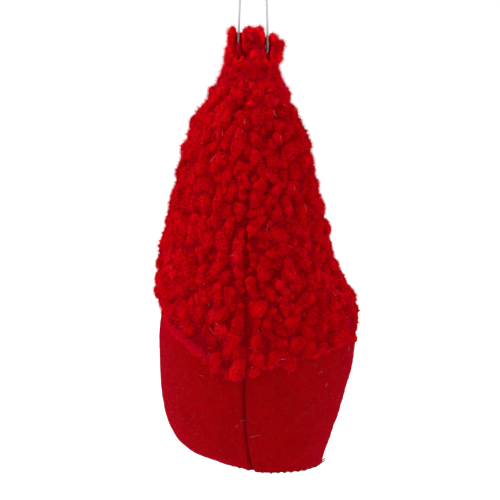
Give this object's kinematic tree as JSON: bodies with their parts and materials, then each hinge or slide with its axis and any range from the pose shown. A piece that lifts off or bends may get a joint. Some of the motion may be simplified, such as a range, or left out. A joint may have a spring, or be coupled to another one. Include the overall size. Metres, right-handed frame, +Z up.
{
  "type": "hanging gnome figurine",
  "caption": "Stuffed felt gnome with a tall curly pile cone hat, a long beard and a ball nose, hanging by a thin cord loop.",
  "frame": {"origin": "inside of the hanging loop's top, where the hook that holds it touches it", "axes": "+Z up along the hanging loop, -Y towards the face, +X towards the figure's left"},
  "size_m": [0.0719, 0.0758, 0.1997],
  "materials": {
    "cord": "satin",
    "pile_cloth": "matte",
    "felt": "matte",
    "thread": "matte",
    "filling": "matte",
    "glue": "satin",
    "card": "matte",
    "beard_pile": "matte",
    "nose_wood": "satin"
  },
  "bodies": {
    "loop": {"hanging_loop": "cord", "cord_knot": "cord"},
    "gnome": {"hat_shell": "pile_cloth", "hat_seam_thread": "thread", "hat_stuffing": "filling", "hat_glue": "glue", "body_shell": "felt", "body_seam_thread": "thread", "body_gather_thread": "thread", "body_stuffing": "filling", "base_panel": "felt", "base_seam_thread": "thread", "base_stiffener": "card", "beard": "beard_pile", "beard_glue": "glue", "nose_bead": "nose_wood", "nose_glue": "glue"}
  },
  "joints": [
    {"name": "swing", "type": "hinge", "parent": "loop", "child": "gnome", "pos_m": [0, 0, -0.0595], "axis": [1, 0, 0], "range_deg": [-90, 90]}
  ]
}
